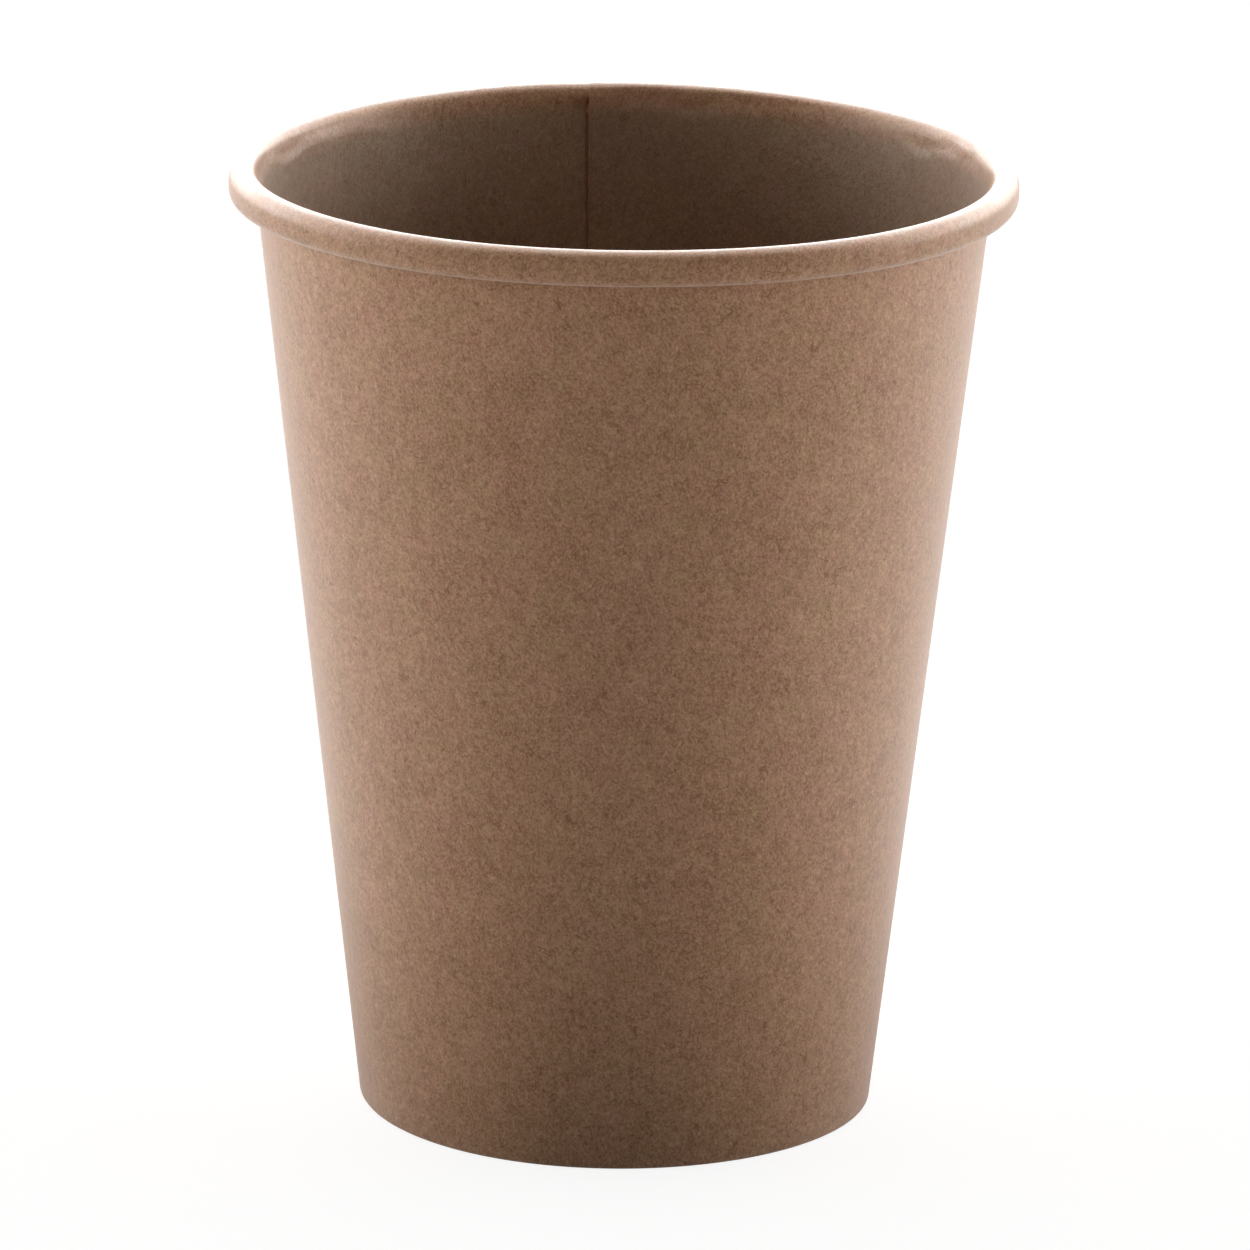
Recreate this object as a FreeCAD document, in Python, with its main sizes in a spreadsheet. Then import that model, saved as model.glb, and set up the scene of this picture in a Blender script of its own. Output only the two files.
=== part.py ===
import FreeCAD, Part
import math
import os
import Sketcher

# Single-wall paper cup: a conical board sidewall with a rolled rim, a lapped
# side seam and a turned-in foot, and a base disc held in that foot.
# Millimetres. +Z is up, the origin is the centre of the ring the cup stands on.
# Azimuths are degrees about +Z, counted from +X.

SIZES = {
    "cup_height": 110.0,        # floor to the top of the rim
    "rim_radius": 45.0,         # outside of the rolled rim
    "foot_radius": 29.85,       # outside of the wall, carried down to the floor
    "board": 0.4,               # thickness of the board
    "glue_line": 0.02,          # gap between glued layers at the foot
    "curl_height": 3.95,        # top to bottom of the rolled rim
    "curl_reach": 2.72,         # how far the roll stands out from the wall
    "curl_tip_angle": 60.0,     # where the rolled edge ends, up from level
    "fold_radius": 0.45,        # outside corners of the fold under the foot
    "hem_height": 8.0,          # top of the turned-in hem
    "base_recess": 9.0,         # underside of the base disc above the floor
    "base_bend": 0.8,           # inside radius of the bend round the base disc
    "skirt_lift": 0.1,          # gap under the skirt's cut edge
    "seam_azimuth": 96.0,       # the inner layer's cut edge
    "seam_lap_angle": 12.0,     # where the two layers lie on each other
    "seam_ramp_angle": 8.0,     # where the outer layer comes back to the round
    "seam_feather": 0.02,       # how far the ramp's end sinks into the wall
    "seam_tuck": 0.6,           # how far the lap runs up behind the roll
    "seam_floor_gap": 0.6,      # from the base disc up to the inner step
}

# The outside of the wall is a straight line from the foot to the height of the
# rim. SLOPE is its radius per height, and SECANT turns a distance square to
# the wall into a level one.
SLOPE = "((sizes.rim_radius - sizes.curl_reach - sizes.foot_radius) / sizes.cup_height)"
SECANT = f"sqrt(1 + {SLOPE}^2)"
FOLDED = "(3 * sizes.board + 2 * sizes.glue_line)"

# A sketch's own numbers: its two axes, and the ends and centre of a curve
X_AXIS, Z_AXIS = range(-1, -3, -1)
ORIGIN = X_AXIS
START, END, CENTRE = range(1, 4)


def make_sheet(doc):
    sheet = doc.addObject("Spreadsheet::Sheet", "sizes")
    for row, (name, value) in enumerate(SIZES.items(), start=1):
        sheet.set(f"A{row}", name)
        sheet.set(f"B{row}", str(value))
        sheet.setAlias(f"B{row}", name)
    return sheet


class Size:
    """The sheet's numbers, and the ones that follow from them."""

    def __init__(self, sheet):
        for name in SIZES:
            setattr(self, name, float(getattr(sheet, name)))
        self.slope = (self.rim_radius - self.curl_reach - self.foot_radius) / self.cup_height
        self.lean = math.atan(self.slope)
        self.folded = 3 * self.board + 2 * self.glue_line
        sine = math.sin(self.lean)
        cosine = math.cos(self.lean)
        self.roll_top = (self.curl_reach * cosine + self.board) / (1 + cosine - sine)
        self.roll_bottom = self.curl_reach / 2
        self.roll_tip = self.curl_reach - self.roll_top

    def wall(self, height, offset=0.0):
        """Radius at a height, for a line that lies offset outside the wall."""
        return self.foot_radius + height * self.slope + offset / math.cos(self.lean)


def wall_radius(height, offset):
    """The same radius as Size.wall, as an expression of the sheet's cells."""
    return f"sizes.foot_radius + ({height}) * {SLOPE} + ({offset}) * {SECANT}"


def point(radius, height):
    return FreeCAD.Vector(radius, height, 0)


def add_line(sketch, first, last, construction=False):
    return sketch.addGeometry(Part.LineSegment(point(*first), point(*last)), construction)


def add_arc(sketch, centre, radius, low_angle, high_angle):
    """An arc, from the low angle anticlockwise to the high one, in degrees."""
    circle = Part.Circle(point(*centre), FreeCAD.Vector(0, 0, 1), radius)
    span = (math.radians(low_angle), math.radians(high_angle))
    return sketch.addGeometry(Part.ArcOfCircle(circle, *span))


def drive(sketch, expression, kind, *where, value):
    """Add a dimension and bind it to the sheet."""
    number = sketch.addConstraint(Sketcher.Constraint(kind, *where, value))
    sketch.setExpression(f"Constraints[{number}]", expression)


def relate(sketch, kind, *pairs):
    for pair in pairs:
        sketch.addConstraint(Sketcher.Constraint(kind, *pair))


def new_body(doc, label):
    body = doc.addObject("PartDesign::Body", label)
    body.Label = label
    body.Placement = FreeCAD.Placement()
    return body


def new_sketch(body, name, azimuth=None):
    """A sketch in the half plane through the axis at an azimuth of the sheet."""
    plane = next(f for f in body.Origin.OriginFeatures if f.Role == "XZ_Plane")
    sketch = body.newObject("Sketcher::SketchObject", name)
    sketch.AttachmentSupport = [(plane, "")]
    sketch.MapMode = "FlatFace"
    if azimuth:
        turn = FreeCAD.Rotation(FreeCAD.Vector(0, 1, 0), 1)
        sketch.AttachmentOffset = FreeCAD.Placement(FreeCAD.Vector(), turn)
        sketch.setExpression("AttachmentOffset.Rotation.Angle", f"({azimuth}) * 1 deg")
    return sketch


def revolve(body, name, sketch, angle=None):
    feature = body.newObject("PartDesign::Revolution", name)
    feature.Profile = sketch
    feature.ReferenceAxis = (sketch, ["V_Axis"])
    feature.Angle = 360
    if angle:
        feature.setExpression("Angle", angle)
    return feature


def draw_wall_section(body, size):
    """The board's section: the hem, the fold, the wall and the rolled rim."""
    sketch = new_sketch(body, "wall_section")
    lean = math.degrees(size.lean)
    hem_inside = -size.folded
    hem_outside = size.board - size.folded

    # The rolled rim: the top and the tip of the roll share one centre
    top = (size.rim_radius - size.roll_top, size.cup_height - size.roll_top)
    low_height = size.cup_height - size.curl_height + size.roll_bottom
    low = (size.rim_radius - size.roll_bottom, low_height)
    near_wall = size.rim_radius - size.curl_reach
    tip = math.radians(size.curl_tip_angle)

    def on_circle(centre, radius, angle):
        return (centre[0] + radius * math.cos(angle), centre[1] + radius * math.sin(angle))

    def roll_face(depth):
        """One face of the board, depth inside the roll's outer face."""
        return [
            add_arc(sketch, top, size.roll_top - depth, 0, 180 - lean),
            add_line(sketch, (size.rim_radius - depth, top[1]), (size.rim_radius - depth, low[1])),
            add_arc(sketch, low, size.roll_bottom - depth, 180, 360),
            add_line(sketch, (near_wall + depth, low[1]), (near_wall + depth, top[1])),
            add_arc(sketch, top, size.roll_tip - depth, size.curl_tip_angle, 180),
        ]

    over, down, under, up, tip_arc = roll_face(0)
    over_in, down_in, under_in, up_in, tip_in = roll_face(size.board)
    tip_edge = add_line(
        sketch,
        on_circle(top, size.roll_tip - size.board, tip),
        on_circle(top, size.roll_tip, tip),
    )

    # The wall and the foot
    square = math.pi - size.lean
    outer_corner = (size.wall(size.fold_radius, -size.fold_radius), size.fold_radius)
    inner_corner = (size.wall(size.fold_radius, hem_inside + size.fold_radius), size.fold_radius)
    wall_out = add_line(
        sketch,
        on_circle(outer_corner, size.fold_radius, -size.lean),
        on_circle(top, size.roll_top - size.board, square),
    )
    wall_in = add_line(
        sketch,
        (size.wall(size.board, -size.board), size.board),
        on_circle(top, size.roll_top, square),
    )
    fold_out = add_arc(sketch, outer_corner, size.fold_radius, 270, 360 - lean)
    fold_in = add_arc(sketch, inner_corner, size.fold_radius, 180 - lean, 270)
    flat = add_line(sketch, (inner_corner[0], 0), (outer_corner[0], 0))
    hem_start = on_circle(inner_corner, size.fold_radius, square)
    hem_top = (size.wall(size.hem_height, hem_inside), size.hem_height)
    hem_edge = (
        hem_top[0] + size.board * math.cos(size.lean),
        hem_top[1] - size.board * math.sin(size.lean),
    )
    hem_in = add_line(sketch, hem_start, hem_top)
    hem_cut = add_line(sketch, hem_top, hem_edge)
    hem_out = add_line(sketch, hem_edge, (size.wall(size.board, hem_outside), size.board))
    fold_floor = add_line(
        sketch,
        (size.wall(size.board, hem_outside), size.board),
        (size.wall(size.board, -size.board), size.board),
    )

    relate(
        sketch, "Tangent",
        (over, END, wall_in, END), (over, START, down, START), (down, END, under, END),
        (under, START, up, START), (up, END, tip_arc, END),
        (over_in, END, wall_out, END), (over_in, START, down_in, START),
        (down_in, END, under_in, END), (under_in, START, up_in, START), (up_in, END, tip_in, END),
        (wall_out, START, fold_out, END), (fold_out, START, flat, END),
        (flat, START, fold_in, END), (fold_in, START, hem_in, START),
    )
    relate(
        sketch, "Coincident",
        (tip_edge, START, tip_in, START), (tip_edge, END, tip_arc, START),
        (hem_in, END, hem_cut, START), (hem_cut, END, hem_out, START),
        (hem_out, END, fold_floor, START), (fold_floor, END, wall_in, START),
        (over, CENTRE, over_in, CENTRE), (under, CENTRE, under_in, CENTRE),
        (tip_arc, CENTRE, tip_in, CENTRE), (over, CENTRE, tip_arc, CENTRE),
    )
    relate(sketch, "Vertical", (down,), (up,), (down_in,), (up_in,))
    relate(sketch, "Horizontal", (flat,), (fold_floor,))
    relate(sketch, "Parallel", (wall_in, wall_out), (hem_in, wall_out), (hem_out, wall_out))
    relate(sketch, "Perpendicular", (hem_cut, hem_in))
    relate(sketch, "Equal", (fold_out, fold_in))
    relate(sketch, "PointOnObject", (flat, START, X_AXIS), (over, CENTRE, tip_edge))

    # The level of the rim's top, and the wall's outer line down at the floor
    ceiling = add_line(sketch, (0, size.cup_height), (size.rim_radius, size.cup_height), True)
    foot = add_line(sketch, (0, 0), (size.foot_radius, 0), True)
    relate(sketch, "Horizontal", (ceiling,), (foot,))
    relate(sketch, "PointOnObject", (ceiling, START, Z_AXIS), (foot, END, wall_out))
    relate(sketch, "Coincident", (foot, START, ORIGIN, START))
    relate(sketch, "Tangent", (ceiling, over))

    drive(sketch, "sizes.cup_height", "DistanceY", ORIGIN, START, ceiling, START,
          value=size.cup_height)
    drive(sketch, "sizes.rim_radius", "DistanceX", ceiling, START, ceiling, END,
          value=size.rim_radius)
    drive(sketch, "sizes.foot_radius", "DistanceX", foot, START, foot, END,
          value=size.foot_radius)
    drive(sketch, f"90 deg - atan({SLOPE})", "Angle", wall_out,
          value=math.pi / 2 - size.lean)
    drive(sketch, "sizes.rim_radius", "DistanceX", ORIGIN, START, down, START,
          value=size.rim_radius)
    drive(sketch, "sizes.rim_radius - sizes.curl_reach", "DistanceX", ORIGIN, START, up, START,
          value=near_wall)
    drive(sketch, "sizes.cup_height - sizes.curl_height + sizes.curl_reach / 2",
          "DistanceY", ORIGIN, START, under, CENTRE, value=low_height)
    drive(sketch, "sizes.curl_tip_angle * 1 deg", "Angle", tip_edge, value=tip)
    drive(sketch, "sizes.board", "Distance", wall_in, START, wall_out, value=size.board)
    drive(sketch, "sizes.board", "Distance", hem_in, END, hem_out, value=size.board)
    drive(sketch, FOLDED, "Distance", hem_in, END, wall_out, value=size.folded)
    drive(sketch, "sizes.fold_radius", "Radius", fold_out, value=size.fold_radius)
    drive(sketch, "sizes.board", "DistanceY", ORIGIN, START, fold_floor, START,
          value=size.board)
    drive(sketch, "sizes.hem_height", "DistanceY", ORIGIN, START, hem_in, END,
          value=size.hem_height)
    return sketch


def draw_strip(body, name, size, azimuth, heights, offsets):
    """A four-cornered section that follows the wall between two heights.

    Each height and offset is a pair, the number now and its expression.
    """
    sketch = new_sketch(body, name, azimuth)
    low, high = heights
    near, far = offsets
    corners = [(low, near), (low, far), (high, far), (high, near)]
    spots = [(size.wall(level[0], offset[0]), level[0]) for level, offset in corners]
    sides = [add_line(sketch, spots[i], spots[(i + 1) % 4]) for i in range(4)]
    for i, (level, offset) in enumerate(corners):
        relate(sketch, "Coincident", (sides[i - 1], END, sides[i], START))
        drive(sketch, wall_radius(level[1], offset[1]), "DistanceX", ORIGIN, START,
              sides[i], START, value=spots[i][0])
        drive(sketch, level[1], "DistanceY", ORIGIN, START, sides[i], START, value=spots[i][1])
    return sketch


def loft(body, kind, name, first, last):
    feature = body.newObject(f"PartDesign::{kind}", name)
    feature.Profile = first
    feature.Sections = [last]
    feature.Ruled = True
    return feature


def make_sidewall(doc, size):
    """One board blank, wrapped, lapped at the side seam, rolled and hemmed."""
    body = new_body(doc, "sidewall")
    revolve(body, "wrapped_wall", draw_wall_section(body, size))

    # The side seam. Clockwise of the inner layer's cut edge the layers lie on
    # each other, and anticlockwise of it the outer one comes back to the round.
    edge = "sizes.seam_azimuth"
    ramp_end = "sizes.seam_azimuth + sizes.seam_ramp_angle"
    buried = (-size.board / 2, "-sizes.board / 2")
    proud = (size.board, "sizes.board")
    feather = (-size.seam_feather, "-sizes.seam_feather")
    bottom = (size.fold_radius, "sizes.fold_radius")
    lap_top = (
        size.cup_height - size.curl_height + size.seam_tuck,
        "sizes.cup_height - sizes.curl_height + sizes.seam_tuck",
    )
    lap_section = draw_strip(body, "lap_section", size, edge, (bottom, lap_top), (buried, proud))
    lap = revolve(body, "lap", lap_section, "sizes.seam_lap_angle")
    lap.Reversed = True

    ramp_start_section = draw_strip(
        body, "ramp_start", size, edge, (bottom, lap_top), (buried, proud))
    ramp_end_section = draw_strip(
        body, "ramp_end", size, ramp_end, (bottom, lap_top), (buried, feather))
    loft(body, "AdditiveLoft", "ramp", ramp_start_section, ramp_end_section)

    inside = (-2 * size.board, "-2 * sizes.board")
    between_layers = (0.0, "0")
    inner_feather = (-size.board - size.seam_feather, "-sizes.board - sizes.seam_feather")
    step_bottom = (
        size.base_recess + size.board + size.seam_floor_gap,
        "sizes.base_recess + sizes.board + sizes.seam_floor_gap",
    )
    step_top = (lap_top[0] - size.board, f"{lap_top[1]} - sizes.board")
    step_start_section = draw_strip(
        body, "step_start", size, edge, (step_bottom, step_top), (inside, between_layers))
    step_end_section = draw_strip(
        body, "step_end", size, ramp_end, (step_bottom, step_top), (inside, inner_feather))
    loft(body, "SubtractiveLoft", "inner_step", step_start_section, step_end_section)
    return body


def make_base_disc(doc, size):
    """A round of board with its edge turned down between the wall and the hem."""
    body = new_body(doc, "base_disc")
    sketch = new_sketch(body, "base_section")
    lean = math.degrees(size.lean)
    outside = -size.board - size.glue_line
    inside = outside - size.board
    bend = size.base_bend
    outer_bend = bend + size.board
    centre_height = size.base_recess - bend
    centre = (size.wall(centre_height, outside) - outer_bend / math.cos(size.lean), centre_height)
    cut = size.board + size.skirt_lift
    square = (math.cos(size.lean), -math.sin(size.lean))

    def beside(radius):
        return (centre[0] + radius * square[0], centre[1] + radius * square[1])

    cut_in = (size.wall(cut, inside), cut)
    cut_out = (cut_in[0] + size.board * square[0], cut_in[1] + size.board * square[1])
    disc_top = centre_height + outer_bend
    top = add_line(sketch, (0, disc_top), (centre[0], disc_top))
    bend_out = add_arc(sketch, centre, outer_bend, -lean, 90)
    skirt_out = add_line(sketch, beside(outer_bend), cut_out)
    skirt_cut = add_line(sketch, cut_out, cut_in)
    skirt_in = add_line(sketch, cut_in, beside(bend))
    bend_in = add_arc(sketch, centre, bend, -lean, 90)
    underside = add_line(sketch, (centre[0], size.base_recess), (0, size.base_recess))
    axis = add_line(sketch, (0, size.base_recess), (0, disc_top))

    relate(
        sketch, "Tangent",
        (top, END, bend_out, END), (bend_out, START, skirt_out, START),
        (skirt_in, END, bend_in, START), (bend_in, END, underside, START),
    )
    relate(
        sketch, "Coincident",
        (skirt_out, END, skirt_cut, START), (skirt_cut, END, skirt_in, START),
        (underside, END, axis, START), (axis, END, top, START), (bend_out, CENTRE, bend_in, CENTRE),
    )
    relate(sketch, "Horizontal", (top,), (underside,))
    relate(sketch, "PointOnObject", (axis, START, Z_AXIS), (axis, END, Z_AXIS))
    relate(sketch, "Parallel", (skirt_in, skirt_out))
    relate(sketch, "Perpendicular", (skirt_cut, skirt_out))
    drive(sketch, "sizes.base_recess", "DistanceY", ORIGIN, START, axis, START,
          value=size.base_recess)
    drive(sketch, "sizes.board", "Distance", skirt_cut, value=size.board)
    drive(sketch, "sizes.base_bend", "Radius", bend_in, value=bend)
    drive(sketch, f"90 deg - atan({SLOPE})", "Angle", skirt_in, value=math.pi / 2 - size.lean)
    drive(sketch, "sizes.board + sizes.skirt_lift", "DistanceY", ORIGIN, START,
          skirt_in, START, value=cut)
    drive(sketch, wall_radius("sizes.board + sizes.skirt_lift",
                              "-2 * sizes.board - sizes.glue_line"),
          "DistanceX", ORIGIN, START, skirt_in, START, value=cut_in[0])
    revolve(body, "drawn_disc", sketch)
    return body


def check(doc, bodies):
    for item in doc.Objects:
        if "Invalid" in item.State or "Error" in item.State:
            raise RuntimeError(f"{item.Name} is not built: {item.State}")
    for body in bodies:
        if body.Shape.isNull() or not body.Shape.isValid():
            raise RuntimeError(f"{body.Label} is not a sound solid")
        if len(body.Shape.Solids) != 1:
            raise RuntimeError(f"{body.Label} is {len(body.Shape.Solids)} solids")


def check_step(doc):
    """The inner step takes board away, and the lap and its ramp add some."""
    wrapped = doc.getObject("wrapped_wall").Shape.Volume
    lapped = doc.getObject("lap").Shape.Volume
    ramped = doc.getObject("ramp").Shape.Volume
    stepped = doc.getObject("inner_step").Shape.Volume
    if not (wrapped < lapped < ramped and stepped < ramped):
        raise RuntimeError(f"side seam: {wrapped:.1f} {lapped:.1f} {ramped:.1f} {stepped:.1f}")


def main():
    doc = FreeCAD.newDocument("paper_cup")
    sheet = make_sheet(doc)
    doc.recompute()
    size = Size(sheet)
    bodies = [make_sidewall(doc, size), make_base_disc(doc, size)]
    doc.recompute()
    check(doc, bodies)
    check_step(doc)
    os.makedirs("parts", exist_ok=True)
    for body in bodies:
        body.Shape.exportStep(f"parts/{body.Label}.step")
        print(body.Label, round(body.Shape.Volume, 1), body.Shape.BoundBox)


main()
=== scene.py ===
import math

import bpy
import numpy as np
from mathutils import Matrix, Vector


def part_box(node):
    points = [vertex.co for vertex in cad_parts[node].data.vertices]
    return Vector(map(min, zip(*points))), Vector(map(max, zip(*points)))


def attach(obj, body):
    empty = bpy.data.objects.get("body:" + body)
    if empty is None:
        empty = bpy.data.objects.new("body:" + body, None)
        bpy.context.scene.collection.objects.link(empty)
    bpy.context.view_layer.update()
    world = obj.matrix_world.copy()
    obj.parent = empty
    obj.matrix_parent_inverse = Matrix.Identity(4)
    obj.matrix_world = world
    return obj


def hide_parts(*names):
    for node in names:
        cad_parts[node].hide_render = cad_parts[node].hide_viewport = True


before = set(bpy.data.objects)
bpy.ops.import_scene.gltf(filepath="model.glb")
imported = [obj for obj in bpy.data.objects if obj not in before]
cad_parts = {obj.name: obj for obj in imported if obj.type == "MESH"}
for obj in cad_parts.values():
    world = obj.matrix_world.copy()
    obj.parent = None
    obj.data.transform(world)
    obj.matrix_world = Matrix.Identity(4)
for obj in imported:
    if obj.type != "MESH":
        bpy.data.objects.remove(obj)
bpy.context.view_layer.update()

MM = 0.001

# Sizes of the board and of its folds in millimetres, as the solids have them
BOARD = 0.4
GLUE_LINE = 0.02
CURL_HEIGHT = 3.95
CURL_REACH = 2.72
CURL_TIP_ANGLE = 60.0
FOLD_RADIUS = 0.45
HEM_HEIGHT = 8.0
BASE_BEND = 0.8
SKIRT_LIFT = 0.1
FOOT_RADIUS = 29.85
SEAM_AZIMUTH = 96.0
SEAM_LAP_ANGLE = 12.0
SEAM_RAMP_ANGLE = 8.0

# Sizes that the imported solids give
RIM_RADIUS = round(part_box("sidewall")[1][0] / MM, 2)
CUP_HEIGHT = round(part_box("sidewall")[1][2] / MM, 2)
BASE_TOP = round(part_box("base_disc")[1][2] / MM, 2)

SLOPE = (RIM_RADIUS - CURL_REACH - FOOT_RADIUS) / CUP_HEIGHT
LEAN = math.atan(SLOPE)
SINE, COSINE = math.sin(LEAN), math.cos(LEAN)
OUTWARDS = np.array([COSINE, -SINE])
FOLDED = 3 * BOARD + 2 * GLUE_LINE
ROLL_TOP = (CURL_REACH * COSINE + BOARD) / (1 + COSINE - SINE)
ROLL_LOW = CURL_REACH / 2
ROLL_TIP = CURL_REACH - ROLL_TOP

# Out of round, as this cup stands: how many waves round it, how many
# millimetres, and the azimuth in degrees where the first one peaks
RIM_WAVES = [(1, 0.008, 173), (2, 0.085, 144), (3, 0.063, 213), (4, 0.171, 107), (5, 0.012, 265)]
RIM_LIFT = [(1, 0.028, 182), (2, 0.102, 176), (3, 0.113, 249), (4, 0.071, 24), (5, 0.014, 306)]
FOOT_WAVES = [(1, 0.008, 0), (2, 0.177, 265), (3, 0.161, 357)]

# Marks of making, in millimetres
CREASE_HEIGHT = 107.1       # where the wall starts to turn out into the roll
CREASE_UNEVEN = 0.45        # how far that height wanders round the rim
CREASE_DEPTH = 0.24
CREASE_WIDTH = 1.8
DENT_DEPTH = 0.07
FLARE = 3.2                 # how far below the top of the rim the flare starts
CREST = 1.2                 # how far below it the crease and the seam's step fade out
ROLL_GROOVE = 0.2           # how much of the seam's step is left on the pressed roll
CUT_SLANT = 0.22            # how far in degrees the inner layer's edge is cut on a slant
SEAM_GAP = 0.2              # how deep the line beside that edge is
SEAM_GAP_ENDS = (0.25, 0.55)  # where in degrees past the edge it rises again
HEM_KNURLS = 78
HEM_KNURL_DEPTH = 0.05
BASE_SAG = 0.25

# How closely the surfaces are divided
COLUMNS = 340
FINE_FROM = 99.0            # height from which the inside has closer points
SHARP_ANGLE = math.radians(35)


def wall(height, offset=0.0):
    """Radius of the wall's outside at a height, plus an offset square to the wall."""
    return FOOT_RADIUS + height * SLOPE + offset / COSINE


def smooth(low, high, x):
    """An S curve from 0 at low to 1 at high."""
    t = np.clip((x - low) / (high - low), 0.0, 1.0)
    return t * t * (3 - 2 * t)


def waves(azimuth, terms):
    """A sum of cosines of the azimuth in degrees, less its own peak, so it is never above 0."""
    def total(a):
        return sum(size * np.cos(np.radians(count * a - peak)) for count, size, peak in terms)
    return total(azimuth) - total(np.arange(0.0, 360.0, 0.5)).max()


def ripple(azimuth, seed, longest, shortest):
    """Uneven ripple of about -1 to 1 round the cup: waves of seeded phase and size.

    The two counts are how often the longest and the shortest wave go round.
    """
    random = np.random.default_rng(seed)
    total = np.zeros_like(azimuth, dtype=float)
    for count in range(longest, shortest + 1):
        total += random.normal() * np.cos(np.radians(count * azimuth) + random.uniform(0, 6.283))
    return total / math.sqrt((shortest - longest + 1) / 2)


def line(first, last, count, into):
    """Points from first towards last, which is left out, and the way into the board there."""
    t = np.arange(count)[:, None] / count
    first, last = np.array(first, float), np.array(last, float)
    return first + t * (last - first), np.tile(np.array(into, float), (count, 1))


def arc(centre, radius, start, end, count, inwards=True):
    """Points round a centre between two angles in degrees, and the way to or from it."""
    a = np.radians(start + (end - start) * np.arange(count) / count)
    ray = np.stack([np.cos(a), np.sin(a)], 1)
    return np.array(centre) + radius * ray, -ray if inwards else ray


def spot(centre, radius, angle):
    """The point of a circle at an angle in degrees."""
    a = math.radians(angle)
    return (centre[0] + radius * math.cos(a), centre[1] + radius * math.sin(a))


def wall_section():
    """The board's closed outline as radius and height.

    It runs down the hem's hidden face, across the fold, up the inside of the wall,
    over and round the roll to its tip, and back along the board's other face.
    Returns the points, the way from the cup's inner face through the board to its
    outer face at each of them, and the run that each point belongs to.
    """
    lean = math.degrees(LEAN)
    square = 180 - lean
    over = (RIM_RADIUS - ROLL_TOP, CUP_HEIGHT - ROLL_TOP)
    under = (RIM_RADIUS - ROLL_LOW, CUP_HEIGHT - CURL_HEIGHT + ROLL_LOW)
    near = RIM_RADIUS - CURL_REACH
    back = RIM_RADIUS - BOARD
    corner_out = (wall(FOLD_RADIUS, -FOLD_RADIUS), FOLD_RADIUS)
    corner_in = (wall(FOLD_RADIUS, FOLD_RADIUS - FOLDED), FOLD_RADIUS)
    hem_top = (wall(HEM_HEIGHT, -FOLDED), HEM_HEIGHT)
    hem_edge = (hem_top[0] + BOARD * COSINE, hem_top[1] - BOARD * SINE)
    fold_start = (wall(BOARD, BOARD - FOLDED), BOARD)
    wall_start = (wall(BOARD, -BOARD), BOARD)
    wall_fine = (wall(FINE_FROM, -BOARD), FINE_FROM)
    runs = {
        "hem_hidden": line(hem_edge, fold_start, 6, -OUTWARDS),
        "fold_hidden": line(fold_start, wall_start, 2, (0, -1)),
        "inside": line(wall_start, wall_fine, 62, OUTWARDS),
        "inside_top": line(wall_fine, spot(over, ROLL_TOP, square), 34, OUTWARDS),
        "over": arc(over, ROLL_TOP, square, 0, 18),
        "down": line((RIM_RADIUS, over[1]), (RIM_RADIUS, under[1]), 3, (-1, 0)),
        "under": arc(under, ROLL_LOW, 0, -180, 14),
        "up": line((near, under[1]), (near, over[1]), 2, (1, 0)),
        "tip": arc(over, ROLL_TIP, 180, CURL_TIP_ANGLE, 6),
        "tip_cut": line(spot(over, ROLL_TIP, CURL_TIP_ANGLE),
                        spot(over, ROLL_TIP - BOARD, CURL_TIP_ANGLE), 1, (0, 0)),
        "tip_back": arc(over, ROLL_TIP - BOARD, CURL_TIP_ANGLE, 180, 5),
        "up_back": line((near + BOARD, over[1]), (near + BOARD, under[1]), 2, (1, 0)),
        "under_back": arc(under, ROLL_LOW - BOARD, -180, 0, 8),
        "down_back": line((back, under[1]), (back, over[1]), 2, (-1, 0)),
        "over_back": arc(over, ROLL_TOP - BOARD, 0, square, 8),
        "outside": line(spot(over, ROLL_TOP - BOARD, square),
                        spot(corner_out, FOLD_RADIUS, -lean), 84, OUTWARDS),
        "fold_out": arc(corner_out, FOLD_RADIUS, -lean, -90, 4, False),
        "flat": line((corner_out[0], 0), (corner_in[0], 0), 2, (0, -1)),
        "fold_in": arc(corner_in, FOLD_RADIUS, 270, square, 4, False),
        "hem": line(spot(corner_in, FOLD_RADIUS, square), hem_top, 14, -OUTWARDS),
        "hem_cut": line(hem_top, hem_edge, 1, (0, 0)),
    }
    points = np.concatenate([run[0] for run in runs.values()])
    through = np.concatenate([run[1] for run in runs.values()])
    names = np.concatenate([[name] * len(run[0]) for name, run in runs.items()])
    return points, through, names


def seam_azimuths():
    """Azimuths from the inner layer's cut edge right round to it again.

    The lap's outer edge has two columns at one place. The cut edge is the narrow
    slanted face between the last column and the first one. Returns the azimuths
    and the first column of the lap.
    """
    lap_edge = SEAM_AZIMUTH + 360 - SEAM_LAP_ANGLE
    near_cut = SEAM_AZIMUTH + np.array([0.0, 0.25, 0.5, 0.9, 1.5])
    before = np.linspace(SEAM_AZIMUTH + 2.4, lap_edge, COLUMNS - 17)
    after = np.linspace(lap_edge, SEAM_AZIMUTH + 360 - CUT_SLANT, 12)
    return np.concatenate([near_cut, before, after]), len(near_cut) + len(before)


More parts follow.
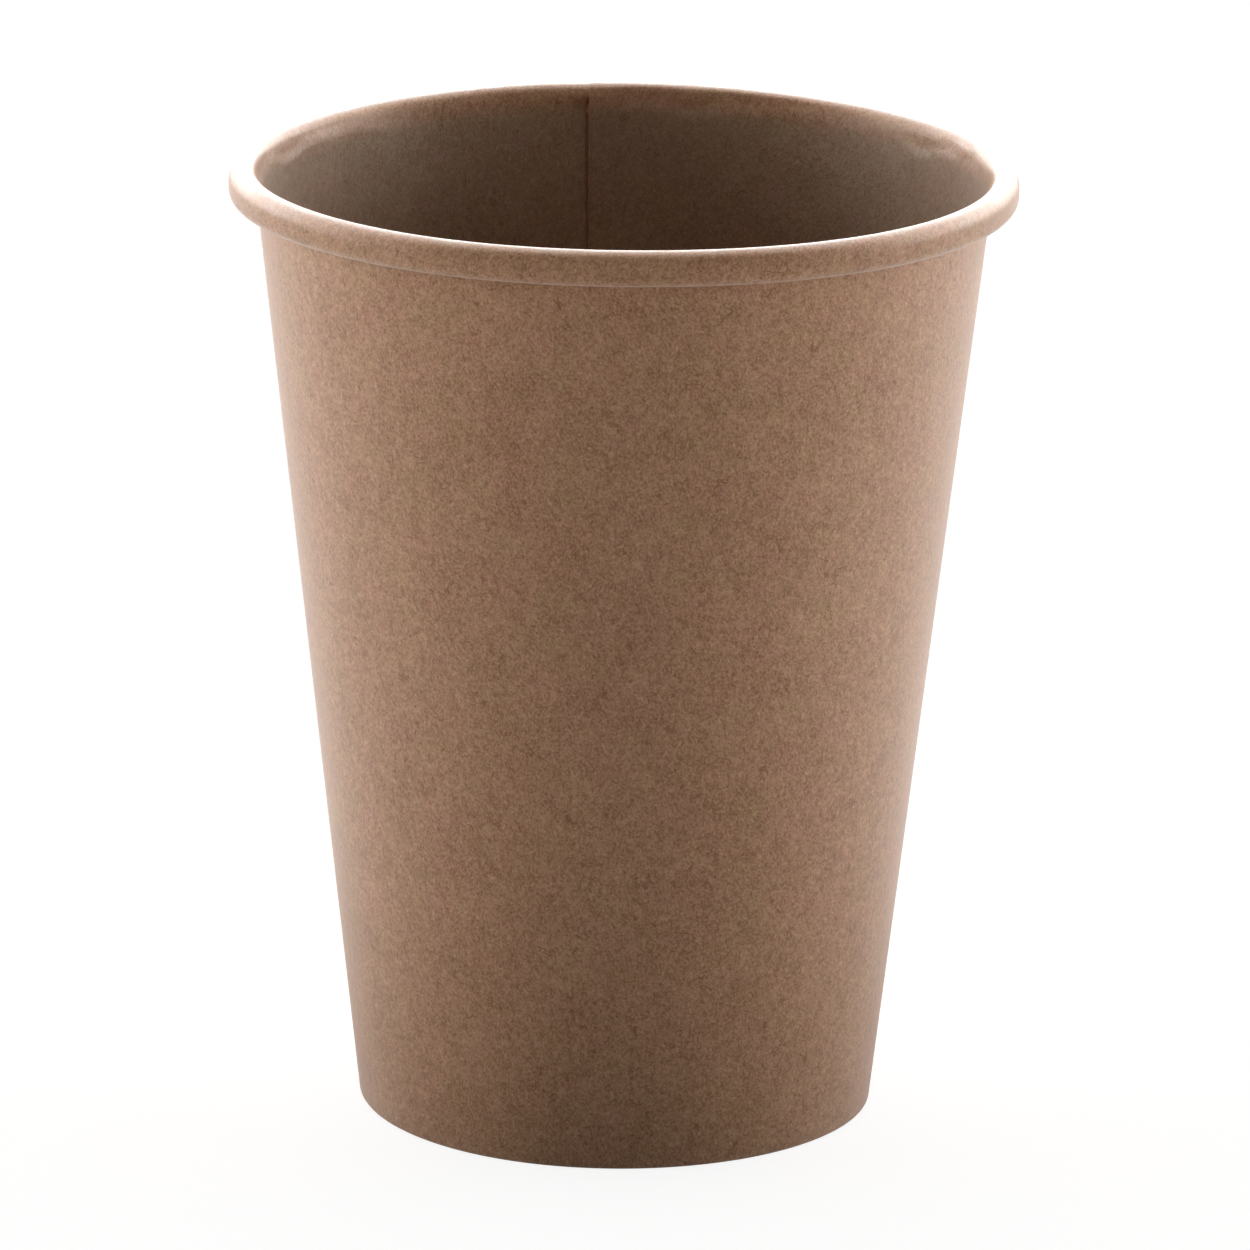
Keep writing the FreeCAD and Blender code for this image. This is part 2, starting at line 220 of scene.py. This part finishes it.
def shape_sidewall():
    """The section swept round the axis, with the seam, the crease and the unevenness.

    Each point is the section's own point, moved through the board by the seam's
    step, the crease, the dents under the rim and the marks on the hem, and then
    carried to the azimuth on a circle that is out of round by a few cosine waves.
    """
    points, through, names = wall_section()
    azimuth, lap_start = seam_azimuths()
    turned = azimuth[None, :] - SEAM_AZIMUTH
    radius = np.repeat(points[:, :1], len(azimuth), 1)
    height = np.repeat(points[:, 1:], len(azimuth), 1)
    way_r, way_z = through[:, :1], through[:, 1:]
    angle = np.repeat(azimuth[None, :], len(points), 0)

    def among(*runs):
        return np.isin(names, runs)[:, None].astype(float)

    # The outer layer's ramp back to the round, and the doubled board of the lap
    ramp = 1 - smooth(0, SEAM_RAMP_ANGLE, turned)
    lap = np.zeros_like(turned)
    lap[:, lap_start:] = 1.0
    above_base = smooth(BASE_TOP + 0.2, BASE_TOP + 1.2, height)
    pressed = 1 - (1 - ROLL_GROOVE) * smooth(CUP_HEIGHT - FLARE, CUP_HEIGHT - CREST, height)
    inner_face = among("inside", "inside_top") * above_base * pressed
    past_crest = radius > RIM_RADIUS - ROLL_TOP
    flare = among("inside_top", "over") * (1.0 - past_crest)
    inner_face = inner_face + among("over") * np.where(past_crest, ROLL_GROOVE, pressed)
    inner_face = inner_face + among("down", "under") * ROLL_GROOVE
    inner_roll = among("over_back", "down_back", "under_back") * ROLL_GROOVE
    roll_foot = CUP_HEIGHT - CURL_HEIGHT
    below_roll = smooth(0.3, 1.0, height) * (1 - smooth(roll_foot + 0.1, roll_foot + 1.0, height))
    outer_face = among("outside")
    shift = BOARD * (ramp * inner_face + ramp * inner_roll)
    gap = SEAM_GAP * (1 - smooth(*SEAM_GAP_ENDS, turned))
    shift = shift + gap * inner_face * among("inside", "inside_top")
    shift = shift + BOARD * np.maximum(ramp, lap) * outer_face * below_roll

    # The crease where the wall turns out into the roll, uneven along the back
    edge = CREASE_HEIGHT + CREASE_UNEVEN * ripple(angle, 3, 5, 26)
    strength = np.clip(0.7 + 0.3 * ripple(angle, 8, 3, 12), 0.1, 1.0)
    crease = CREASE_DEPTH * strength * smooth(0, CREASE_WIDTH, height - edge)
    fade = 1 - smooth(CUP_HEIGHT - CREST, CUP_HEIGHT - 0.2, height)
    shift = shift + crease * fade * flare

    # Small dents pressed into the inner edge of the rim
    dents = ripple(angle, 21, 14, 46) * ripple(angle, 5, 2, 7)
    band = smooth(CUP_HEIGHT - FLARE, CUP_HEIGHT - 1.6, height)
    band = band * (1 - smooth(CUP_HEIGHT - 0.9, CUP_HEIGHT - 0.1, height))
    shift = shift + DENT_DEPTH * dents * band * flare

    # Pressed marks on the hem
    knurl = 0.5 - 0.5 * np.cos(np.radians(angle * HEM_KNURLS))
    level = smooth(1.0, 2.0, height) * smooth(HEM_HEIGHT - 0.6, HEM_HEIGHT - 1.4, height)
    shift = shift - HEM_KNURL_DEPTH * knurl * level * among("hem")

    radius = radius + shift * way_r
    height = height + shift * way_z

    # Out of round, more at the rim than at the foot, and a rim that isn't level
    share = np.clip(height / CUP_HEIGHT, 0, 1)
    radius = radius + share * waves(angle, RIM_WAVES) + (1 - share) * waves(angle, FOOT_WAVES)
    height = height + smooth(60, CUP_HEIGHT, height) * waves(angle, RIM_LIFT)

    turn = np.radians(angle)
    place = np.stack([radius * np.cos(turn), radius * np.sin(turn), height], 2) * MM
    return place, azimuth, names, points, lap_start


def blank_layout(points, names):
    """How far each point of the section lies up the flat blank, in millimetres.

    It is the length along the board from the foot, counted up one face and, past
    the roll's tip, back down the other.
    """
    steps = np.linalg.norm(np.diff(points, axis=0, append=points[:1]), axis=1)
    length = np.concatenate([[0], np.cumsum(steps)[:-1]])
    tip = int(np.argmax(names == "tip_cut"))
    forward = length - length[np.argmax(names == "inside")]
    back = forward[tip] - (length - length[tip])
    return np.where(np.arange(len(names)) <= tip, forward, back)


def new_mesh(name, vertices, faces, corners):
    """A mesh of quads and triangles: corners is how many each face has."""
    mesh = bpy.data.meshes.new(name)
    mesh.vertices.add(len(vertices))
    mesh.vertices.foreach_set("co", vertices.astype(np.float32).ravel())
    mesh.loops.add(len(faces))
    mesh.loops.foreach_set("vertex_index", faces.astype(np.int32))
    mesh.polygons.add(len(corners))
    starts = np.concatenate([[0], np.cumsum(corners)[:-1]])
    mesh.polygons.foreach_set("loop_start", starts.astype(np.int32))
    mesh.polygons.foreach_set("loop_total", corners.astype(np.int32))
    mesh.update(calc_edges=True)
    mesh.validate()
    mesh.shade_smooth()
    mesh.set_sharp_from_angle(angle=SHARP_ANGLE)
    piece = bpy.data.objects.new(name, mesh)
    bpy.context.scene.collection.objects.link(piece)
    return piece


def set_corner_data(mesh, layout, cut):
    """Give each face corner its place on the flat blank, and mark cut edges 1 and the seam's gap
    of painted shade -1.
    """
    layer = mesh.uv_layers.new(name="blank")
    layer.data.foreach_set("uv", layout.astype(np.float32).ravel())
    mark = mesh.attributes.new("cut_edge_and_gap_shade", "FLOAT", "CORNER")
    mark.data.foreach_set("value", cut.astype(np.float32))


def flat_blank(azimuth, along, face_shift):
    """A point of the cone rolled out flat, in metres.

    A cone unrolls to a fan: the distance from its tip stays, and the angle round
    it shrinks by the sine of its slope.
    """
    reach = FOOT_RADIUS / SINE + along
    fan = np.radians(azimuth - SEAM_AZIMUTH) * SINE
    return np.stack([reach * np.cos(fan) + face_shift, reach * np.sin(fan)], -1) * MM


# The board's outer face lies beside its inner one on the blank, in millimetres. In
# metres, the distance from the cone's tip says where the lined face ends.
OUTER_RUNS = ("tip_back", "up_back", "under_back", "down_back", "over_back", "outside",
              "fold_out", "flat", "fold_in", "hem")
OUTER_FACE_SHIFT = 400.0
RIM_REACH = (FOOT_RADIUS / SINE + CUP_HEIGHT / COSINE) * MM
LINED_TO = (RIM_REACH - 0.0045, RIM_REACH - 0.0015)


def make_sidewall():
    """The wrapped board as one closed surface.

    Rows go round the section and columns round the cup.
    """
    place, azimuth, names, points, lap_start = shape_sidewall()
    rows, columns = place.shape[:2]
    row = np.arange(rows)[:, None]
    column = np.arange(columns)[None, :]
    next_row = (row + 1) % rows
    next_column = (column + 1) % columns
    quad = [(row, column), (row, next_column), (next_row, next_column), (next_row, column)]
    faces = np.stack([r * columns + c for r, c in quad], 2).reshape(-1)
    piece = new_mesh("sidewall_board", place.reshape(-1, 3), faces,
                     np.full(rows * columns, 4))

    along = blank_layout(points, names)
    shift = np.where(np.isin(names, OUTER_RUNS), OUTER_FACE_SHIFT, 0.0)
    end_azimuth = azimuth[(np.arange(columns) + 1) % columns]
    end_azimuth[-1] = azimuth[-1]
    step = np.linalg.norm(points - np.roll(points, -1, 0), axis=1)
    next_along = along + np.where(shift > 0, -step, step)
    low_a, high_a = azimuth[None, :], end_azimuth[None, :]
    near, far, side = along[:, None], next_along[:, None], shift[:, None]
    layout = np.stack([
        flat_blank(low_a, near, side), flat_blank(high_a, near, side),
        flat_blank(high_a, far, side), flat_blank(low_a, far, side),
    ], 2)
    cut = np.zeros((rows, columns))
    cut[:, -1] = np.isin(names, ("inside", "inside_top", "over"))
    # -1 marks the column beside the seam's cut edge, where the narrow gap gets painted shade
    cut[:, 0] = -1.0 * np.isin(names, ("inside", "inside_top"))
    cut[:, lap_start - 1] = names == "outside"
    cut[np.isin(names, ("tip_cut", "hem_cut")), :] = 1
    set_corner_data(piece.data, layout.reshape(-1, 2), np.repeat(cut.reshape(-1), 4))
    return piece


TOP_SHIFT, UNDER_SHIFT = 0.1, 0.6


def make_base_disc():
    """The base disc and its skirt: a section turned about the axis, closed at both poles."""
    lean = math.degrees(LEAN)
    outside = -BOARD - GLUE_LINE
    big_bend = BASE_BEND + BOARD
    centre_height = BASE_TOP - big_bend
    centre = (wall(centre_height, outside) - big_bend / COSINE, centre_height)
    cut = BOARD + SKIRT_LIFT
    cut_in = (wall(cut, outside - BOARD), cut)
    cut_out = (cut_in[0] + BOARD * COSINE, cut_in[1] - BOARD * SINE)
    start = 0.4
    down, none = (0, -1), (0, 0)
    runs = [
        line((start, BASE_TOP), (centre[0], BASE_TOP), 40, down),
        arc(centre, big_bend, 90, -lean, 10),
        line(spot(centre, big_bend, -lean), cut_out, 12, none),
        line(cut_out, cut_in, 2, none),
        line(cut_in, spot(centre, BASE_BEND, -lean), 12, none),
        arc(centre, BASE_BEND, -lean, 90, 8),
        line((centre[0], BASE_TOP - BOARD), (start, BASE_TOP - BOARD), 40, down),
        (np.array([[start, BASE_TOP - BOARD]]), np.zeros((1, 2))),
    ]
    points = np.concatenate([run[0] for run in runs])
    azimuth = np.linspace(0, 360, COLUMNS, endpoint=False)
    radius = np.repeat(points[:, :1], COLUMNS, 1)
    height = np.repeat(points[:, 1:], COLUMNS, 1)
    share = height / CUP_HEIGHT
    skirt = smooth(centre[0] * 0.9, centre[0], radius)
    radius = radius + (1 - share) * waves(azimuth, FOOT_WAVES) * skirt
    height = height - BASE_SAG * (1 - smooth(0, centre[0] * 0.96, radius))
    turn = np.radians(azimuth)[None, :]
    place = np.stack([radius * np.cos(turn), radius * np.sin(turn), height], 2)
    rows = len(points)
    poles = [(0, 0, BASE_TOP - BASE_SAG), (0, 0, BASE_TOP - BOARD - BASE_SAG)]
    vertices = np.concatenate([place.reshape(-1, 3), poles]) * MM

    row = np.arange(rows - 1)[:, None]
    column = np.arange(COLUMNS)[None, :]
    after = (column + 1) % COLUMNS
    quad = [(row, column), (row + 1, column), (row + 1, after), (row, after)]
    quads = np.stack([r * COLUMNS + c for r, c in quad], 2).reshape(-1)
    top_pole, low_pole = rows * COLUMNS, rows * COLUMNS + 1
    last = (rows - 1) * COLUMNS
    column, after = column[0], after[0]
    top_fan = np.stack([np.full(COLUMNS, top_pole), column, after], 1).reshape(-1)
    low_fan = np.stack([np.full(COLUMNS, low_pole), last + after, last + column], 1).reshape(-1)
    corners = np.concatenate([np.full((rows - 1) * COLUMNS, 4), np.full(2 * COLUMNS, 3)])
    faces = np.concatenate([quads, top_fan, low_fan])
    piece = new_mesh("base_board", vertices, faces, corners)

    # A flat sheet keeps its own level coordinates. Those of the skirt and of the
    # sagging middle of the underside are shifted past the reach of the lined face.
    spread = vertices[faces][:, :2]
    under = vertices[faces][:, 2] < (BASE_TOP - BOARD / 2) * MM - BASE_SAG * MM
    spread = spread + np.where(under, UNDER_SHIFT, TOP_SHIFT)[:, None]
    set_corner_data(piece.data, spread, np.zeros(len(faces)))
    return piece


class Field:
    """A value or colour in a material; arithmetic on it adds Math nodes."""

    def __init__(self, paint, socket):
        self.paint = paint
        self.socket = socket

    def _math(self, operation, first, second):
        node = self.paint.node("ShaderNodeMath", {"operation": operation}, {0: first, 1: second})
        return node.out()

    def __add__(self, other):
        return self._math("ADD", self, other)

    def __radd__(self, other):
        return self._math("ADD", other, self)

    def __sub__(self, other):
        return self._math("SUBTRACT", self, other)

    def __rsub__(self, other):
        return self._math("SUBTRACT", other, self)

    def __mul__(self, other):
        return self._math("MULTIPLY", self, other)

    def __rmul__(self, other):
        return self._math("MULTIPLY", other, self)

    def __truediv__(self, other):
        return self._math("DIVIDE", self, other)

    def clamp(self, low, high, start=0.0, end=1.0):
        """An S curve from start at low to end at high."""
        settings = {"interpolation_type": "SMOOTHSTEP"}
        sockets = {"Value": self, "From Min": low, "From Max": high,
                   "To Min": start, "To Max": end}
        return self.paint.node("ShaderNodeMapRange", settings, sockets).out("Result")

    def at_least(self, value):
        return self._math("MAXIMUM", self, value)

    def distance_from(self, value):
        return self.paint.node("ShaderNodeMath", {"operation": "ABSOLUTE"},
                               {0: self - value}).out()


class Node:
    """A node just made, whose outputs are read as Fields."""

    def __init__(self, paint, node):
        self.paint = paint
        self.node = node

    def out(self, name=0):
        return Field(self.paint, self.node.outputs[name])


class Paint:
    """A material's or a world's node tree, with one method that adds any node."""

    def __init__(self, tree):
        self.tree = tree
        self.tree.nodes.clear()

    def node(self, kind, settings=None, sockets=None):
        node = self.tree.nodes.new(kind)
        for name, value in (settings or {}).items():
            setattr(node, name, value)
        for name, value in (sockets or {}).items():
            if isinstance(value, Field):
                self.tree.links.new(value.socket, node.inputs[name])
            else:
                node.inputs[name].default_value = value
        return Node(self, node)

    def mix(self, share, first, second, blend="MIX"):
        """Blend two colours. Sockets 6 and 7 are the colour ones."""
        settings = {"data_type": "RGBA", "blend_type": blend}
        return self.node("ShaderNodeMix", settings, {0: share, 6: first, 7: second}).out(2)

    def noise(self, where, size, detail=2.0, rough=0.5, distortion=0.0):
        """Noise whose patches are about size metres across, near 0 to 1."""
        sockets = {"Vector": where, "Scale": 1 / size, "Detail": detail, "Roughness": rough,
                   "Distortion": distortion}
        return self.node("ShaderNodeTexNoise", {"noise_dimensions": "3D"}, sockets).out(0)

    def stretch(self, where, factors, shift=(0, 0, 0)):
        """Scale and shift coordinates along each axis."""
        scaled = self.node("ShaderNodeVectorMath", {"operation": "MULTIPLY_ADD"},
                           {0: where, 1: factors, 2: shift})
        return scaled.out()


def new_paint(name):
    material = bpy.data.materials.new(name)
    material.use_nodes = True
    return material, Paint(material.node_tree)


def shifted(tone, red, green, blue):
    """A colour with each channel moved by that many parts in a hundred."""
    return tuple(c * math.exp(n / 100) for c, n in zip(tone, (red, green, blue))) + (1,)


# Sizes in metres of each pattern of the board, and how much it changes the tone
GRAIN_SIZE, GRAIN = 0.00031, 1.5
MOTTLE_SIZE, MOTTLE = 0.0009, 0.70
CLOUD_SIZE, CLOUD = 0.0026, 0.50
DRIFT_SIZE, DRIFT = 0.0090, 0.28
PALE_THREAD_SIZE, DARK_THREAD_SIZE, THREADS = 0.0011, 0.0012, 0.17
HAIR_SIZE, HAIRS = 0.0024, 0.45
FLECK_SIZE, FLECKS = 0.00045, 0.5
FINE_WARMTH_SIZE, FINE_WARMTH = 0.0012, 1.3
WIDE_WARMTH_SIZE, WIDE_WARMTH = 0.0045, 1.5
INSIDE_CALM = 0.25          # how much weaker all of it is on the lined face

# Colours: the mean tones, and hundredths by which red, green and blue differ from them
KRAFT_TONE = (0.383, 0.185, 0.089)
BASE_TONE = (0.40, 0.201, 0.099)
RED_DARK, RED_PALE = (-36, -58, -80), (42, 52, 78)
YELLOW_DARK, YELLOW_PALE = (-41, -50, -90), (36, 58, 66)
CUT_EDGE_PALE = (38, 44, 50)
# Painted shade for the narrow gap beside the seam's cut edge
GAP_PAINTED_SHADE = (-70, -70, -70)
# Multiplies the lined face: partly its greyer lining, partly painted shade darkening the inside
# of the cup
LINING_AND_INSIDE_SHADE = (0.70, 0.84, 0.97, 1)

ROUGHNESS = 0.42
BOARD_IOR = 1.38
SHEEN = 0.42
SHEEN_ROUGHNESS = 0.5
BUMP_STRENGTH = 0.4
BUMP_DISTANCE = 0.00006


def kraft(name, tone):
    """Brown unbleached board: matted fibres, soft clouds of tone, dark hairs and pale flecks.

    A thread is where a noise crosses its middle value, cut into short lengths by
    a second noise. Darker spots are also more strongly coloured, as in wood pulp.
    """
    material, paint = new_paint(name)
    blank = paint.node("ShaderNodeUVMap", {"uv_map": "blank"}).out()

    def noise(seed, size, detail=1.0, rough=0.5, distortion=0.0, narrow=1.0):
        where = paint.stretch(blank, (1, narrow, 1), (0.137 * seed, 0.211 * seed, 0.05 * seed))
        return paint.noise(where, size, detail, rough, distortion)

    reach = paint.node("ShaderNodeVectorMath", {"operation": "LENGTH"}, {0: blank}).out("Value")
    inner = reach.clamp(*LINED_TO, 1.0, 0.0)

    def threads(seed, size, width, cover_low, cover_high):
        """Thin curved lines: width is in parts of the noise's range."""
        line_at = noise(seed, size, 1.0, 0.5, 0.8)
        cover = noise(seed + 1, size * 0.8, 0.0)
        thread = line_at.distance_from(0.5).clamp(0.0, width, 1.0, 0.0)
        return thread * cover.clamp(cover_low, cover_high)

    grain = noise(1, GRAIN_SIZE, 1.0, 0.5, 0.3, 1.25)
    mottle = noise(2, MOTTLE_SIZE, 1.0, 0.5, 0.2, 1.15)
    cloud = noise(3, CLOUD_SIZE, 2.0, 0.6)
    drift = noise(4, DRIFT_SIZE, 2.0, 0.6)
    pale_threads = threads(5, PALE_THREAD_SIZE, 0.05, 0.42, 0.56)
    dark_threads = threads(7, DARK_THREAD_SIZE, 0.05, 0.44, 0.58)
    hair = threads(9, HAIR_SIZE, 0.022, 0.62, 0.68)
    fleck = noise(12, FLECK_SIZE, 0.0).clamp(0.775, 0.83)
    warmth = 0.5 + FINE_WARMTH * (noise(13, FINE_WARMTH_SIZE, 1.0) - 0.5)
    warmth = warmth + WIDE_WARMTH * (noise(14, WIDE_WARMTH_SIZE, 2.0) - 0.5)

    light = 0.5 + GRAIN * (grain - 0.5) + MOTTLE * (mottle - 0.5)
    light = light + CLOUD * (cloud - 0.5) + DRIFT * (drift - 0.5)
    light = light + THREADS * (pale_threads - dark_threads) - HAIRS * hair + FLECKS * fleck
    light = light - INSIDE_CALM * inner * (light - 0.5)
    red_brown = paint.mix(light, shifted(tone, *RED_DARK), shifted(tone, *RED_PALE))
    yellow_brown = paint.mix(light, shifted(tone, *YELLOW_DARK), shifted(tone, *YELLOW_PALE))
    face = paint.mix(warmth, red_brown, yellow_brown)

    # The face turned to the drink, up to the flare, is greyer from its lining, and also darker as
    # painted shade of the cup's inside
    lined_and_shaded = paint.mix(1.0, face, LINING_AND_INSIDE_SHADE, "MULTIPLY")
    face = paint.mix(inner, face, lined_and_shaded)

    # Cut edges show the loose, paler middle of the board, and the gap beside the seam's cut edge
    # has painted shade: a darker colour stands in for the shadow in that narrow groove
    cut = paint.node("ShaderNodeAttribute", {"attribute_name": "cut_edge_and_gap_shade"}).out("Fac")
    colour = paint.mix(cut.at_least(0.0), face, shifted(tone, *CUT_EDGE_PALE))
    colour = paint.mix((0.0 - cut).at_least(0.0), colour, shifted(tone, *GAP_PAINTED_SHADE))

    roughness = ROUGHNESS + 0.3 * (grain - 0.5) + 0.2 * (cloud - 0.5)
    relief = 0.6 * grain + 0.3 * mottle + 0.15 * (pale_threads - dark_threads)
    bump = paint.node("ShaderNodeBump", {}, {
        "Strength": BUMP_STRENGTH, "Distance": BUMP_DISTANCE, "Height": relief,
    })
    shader = paint.node("ShaderNodeBsdfPrincipled", {}, {
        "Base Color": colour, "Roughness": roughness, "Normal": bump.out(),
        "IOR": BOARD_IOR, "Sheen Weight": SHEEN, "Sheen Roughness": SHEEN_ROUGHNESS,
    })
    paint.node("ShaderNodeOutputMaterial", {}, {"Surface": shader.out()})
    return material


def dress(piece, node, material):
    piece.data.materials.append(material)
    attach(piece, "root")
    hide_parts(node)


dress(make_sidewall(), "sidewall", kraft("kraft_board", KRAFT_TONE))
dress(make_base_disc(), "base_disc", kraft("kraft_base", BASE_TONE))


# The studio

FLOOR_HALF = 6.0
FLOOR_GLOW = 0.86           # what the camera sees of the floor in full shadow
FLOOR_WHITE = (0.26, 0.26, 0.26, 1)
FLOOR_FRONT = 0.55          # how bright the floor is as a light: towards the viewer,
FLOOR_SIDE = 1.25           # at the sides,
FLOOR_BACK = 1.25           # behind,
FLOOR_AT_FOOT = 0.13        # and right at the foot
FOOT_GLOOM = (0.032, 0.125)  # from where to where it grows from that to the rest
MIRROR_DIM = 0.7            # how far the floor is its own light also in a mirrored ray
FRONT_LIGHT = 0.045
SIDE_LIGHT = 5.30
TOP_LIGHT = 0.08
BACK_LIGHT = 0.2
TOP_GLOSS = 7.0             # the bright screen overhead and behind, as it is mirrored
LEFT_MORE = 0.05


def background_rays(paint):
    """1 for rays that show the background, straight, mirrored or seen through, and 1 for
    those of them that are mirrored."""
    rays = paint.node("ShaderNodeLightPath")
    straight = rays.out("Is Camera Ray") + rays.out("Is Transmission Ray")
    mirrored = rays.out("Is Glossy Ray")
    return (straight + mirrored).clamp(0.0, 1.0), mirrored


def make_floor():
    """A flat pale square, white where it is seen, with the cup's soft shadow.

    As a light on the cup it is the floor of a white tent: bright at the sides and
    behind, dark towards the viewer, and darker right at the foot as a painted shadow of the cup.
    """
    place = np.array([(-1, -1, 0), (1, -1, 0), (1, 1, 0), (-1, 1, 0)], float) * FLOOR_HALF
    floor = new_mesh("floor", place, np.arange(4), np.array([4]))
    material, paint = new_paint("pale_floor")
    spot_on_floor = paint.node("ShaderNodeTexCoord").out("Object")
    away = paint.node("ShaderNodeSeparateXYZ", {}, {0: spot_on_floor}).out(1)
    distance = paint.node("ShaderNodeVectorMath", {"operation": "LENGTH"},
                          {0: spot_on_floor}).out("Value")
    behind = away / distance
    level = FLOOR_FRONT + (FLOOR_SIDE - FLOOR_FRONT) * behind.clamp(-0.9, 0.0)
    level = level + (FLOOR_BACK - FLOOR_SIDE) * behind.clamp(0.0, 0.9)
    # Dimmer near the foot: a painted shadow of the cup in the floor's light
    level = FLOOR_AT_FOOT + (level - FLOOR_AT_FOOT) * distance.clamp(*FOOT_GLOOM)
    around = paint.node("ShaderNodeEmission", {}, {"Strength": level}).out()
    white = paint.node("ShaderNodeBsdfDiffuse", {}, {"Color": FLOOR_WHITE}).out()
    glow = paint.node("ShaderNodeEmission", {}, {"Strength": FLOOR_GLOW}).out()
    seen = paint.node("ShaderNodeAddShader", {}, {0: white, 1: glow}).out()
    shown, mirrored = background_rays(paint)
    shown = shown - MIRROR_DIM * mirrored
    both = paint.node("ShaderNodeMixShader", {}, {0: shown, 1: around, 2: seen})
    paint.node("ShaderNodeOutputMaterial", {}, {"Surface": both.out()})
    floor.data.materials.append(material)


def make_surroundings():
    """A tent, plain white to the camera, that lights the cup most from its sides.

    It is dim towards the viewer and overhead, and only mirrored rays see the bright
    screen behind and above. The light depends on how far up each ray points and,
    turned level, on how far it points across and away from the viewer, each from
    -1 to 1.
    """
    world = bpy.data.worlds.new("white_tent")
    world.use_nodes = True
    bpy.context.scene.world = world
    paint = Paint(world.node_tree)
    way = paint.node("ShaderNodeTexCoord").out("Generated")
    up = paint.node("ShaderNodeSeparateXYZ", {}, {0: way}).out(2)
    level_way = paint.node("ShaderNodeVectorMath", {"operation": "MULTIPLY"},
                           {0: way, 1: (1, 1, 0)}).out()
    level_way = paint.node("ShaderNodeVectorMath", {"operation": "NORMALIZE"},
                           {0: level_way}).out()
    parts = paint.node("ShaderNodeSeparateXYZ", {}, {0: level_way})
    across, away = parts.out(0), parts.out(1)
    front = FRONT_LIGHT * (1.0 - up.clamp(0.15, 0.60))
    side = SIDE_LIGHT * (1.0 - up.clamp(0.16, 0.58)) * (1.0 - LEFT_MORE * across)
    light = front + (side - front) * away.clamp(-0.40, -0.16) + TOP_LIGHT
    light = light + BACK_LIGHT * up.clamp(0.10, 0.45) * away.clamp(0.35, 0.85)
    shown, mirrored = background_rays(paint)
    overhead = TOP_GLOSS * up.clamp(0.08, 0.35) * away.clamp(-0.3, 0.3)
    strength = light * (1.0 - shown) + shown
    strength = strength + ((light - 1.0).at_least(0.0) + overhead) * mirrored
    sky = paint.node("ShaderNodeBackground", {}, {"Color": (1, 1, 1, 1), "Strength": strength})
    paint.node("ShaderNodeOutputWorld", {}, {"Surface": sky.out()})


CAMERA_DISTANCE = 1019.7    # in millimetres, as the eye's height is
EYE_HEIGHT = 337.5
LENS = 265.9                # in millimetres, on a sensor 36 mm wide
SENSOR = 36
CAMERA_TURNS = (15.445, 0.039, 0.778)  # degrees down, to the right and clockwise


def make_camera():
    """A long lens from the front and above, turned a little clockwise."""
    pitch, yaw, roll = map(math.radians, CAMERA_TURNS)
    forward = Vector((math.sin(yaw) * math.cos(pitch), math.cos(yaw) * math.cos(pitch),
                      -math.sin(pitch)))
    right = Vector((math.cos(yaw), -math.sin(yaw), 0))
    up = right.cross(forward)
    rolled_right = math.cos(roll) * right + math.sin(roll) * up
    rolled_up = -math.sin(roll) * right + math.cos(roll) * up
    turn = Matrix((rolled_right, rolled_up, -forward)).transposed().to_4x4()
    data = bpy.data.cameras.new("camera")
    data.sensor_width = SENSOR
    data.lens = LENS
    data.clip_start, data.clip_end = 0.05, 50
    camera = bpy.data.objects.new("camera", data)
    eye = (0, -CAMERA_DISTANCE * MM, EYE_HEIGHT * MM)
    camera.matrix_world = Matrix.Translation(eye) @ turn
    bpy.context.scene.collection.objects.link(camera)
    bpy.context.scene.camera = camera


make_floor()
make_surroundings()
make_camera()
bpy.context.scene.view_settings.view_transform = "Standard"
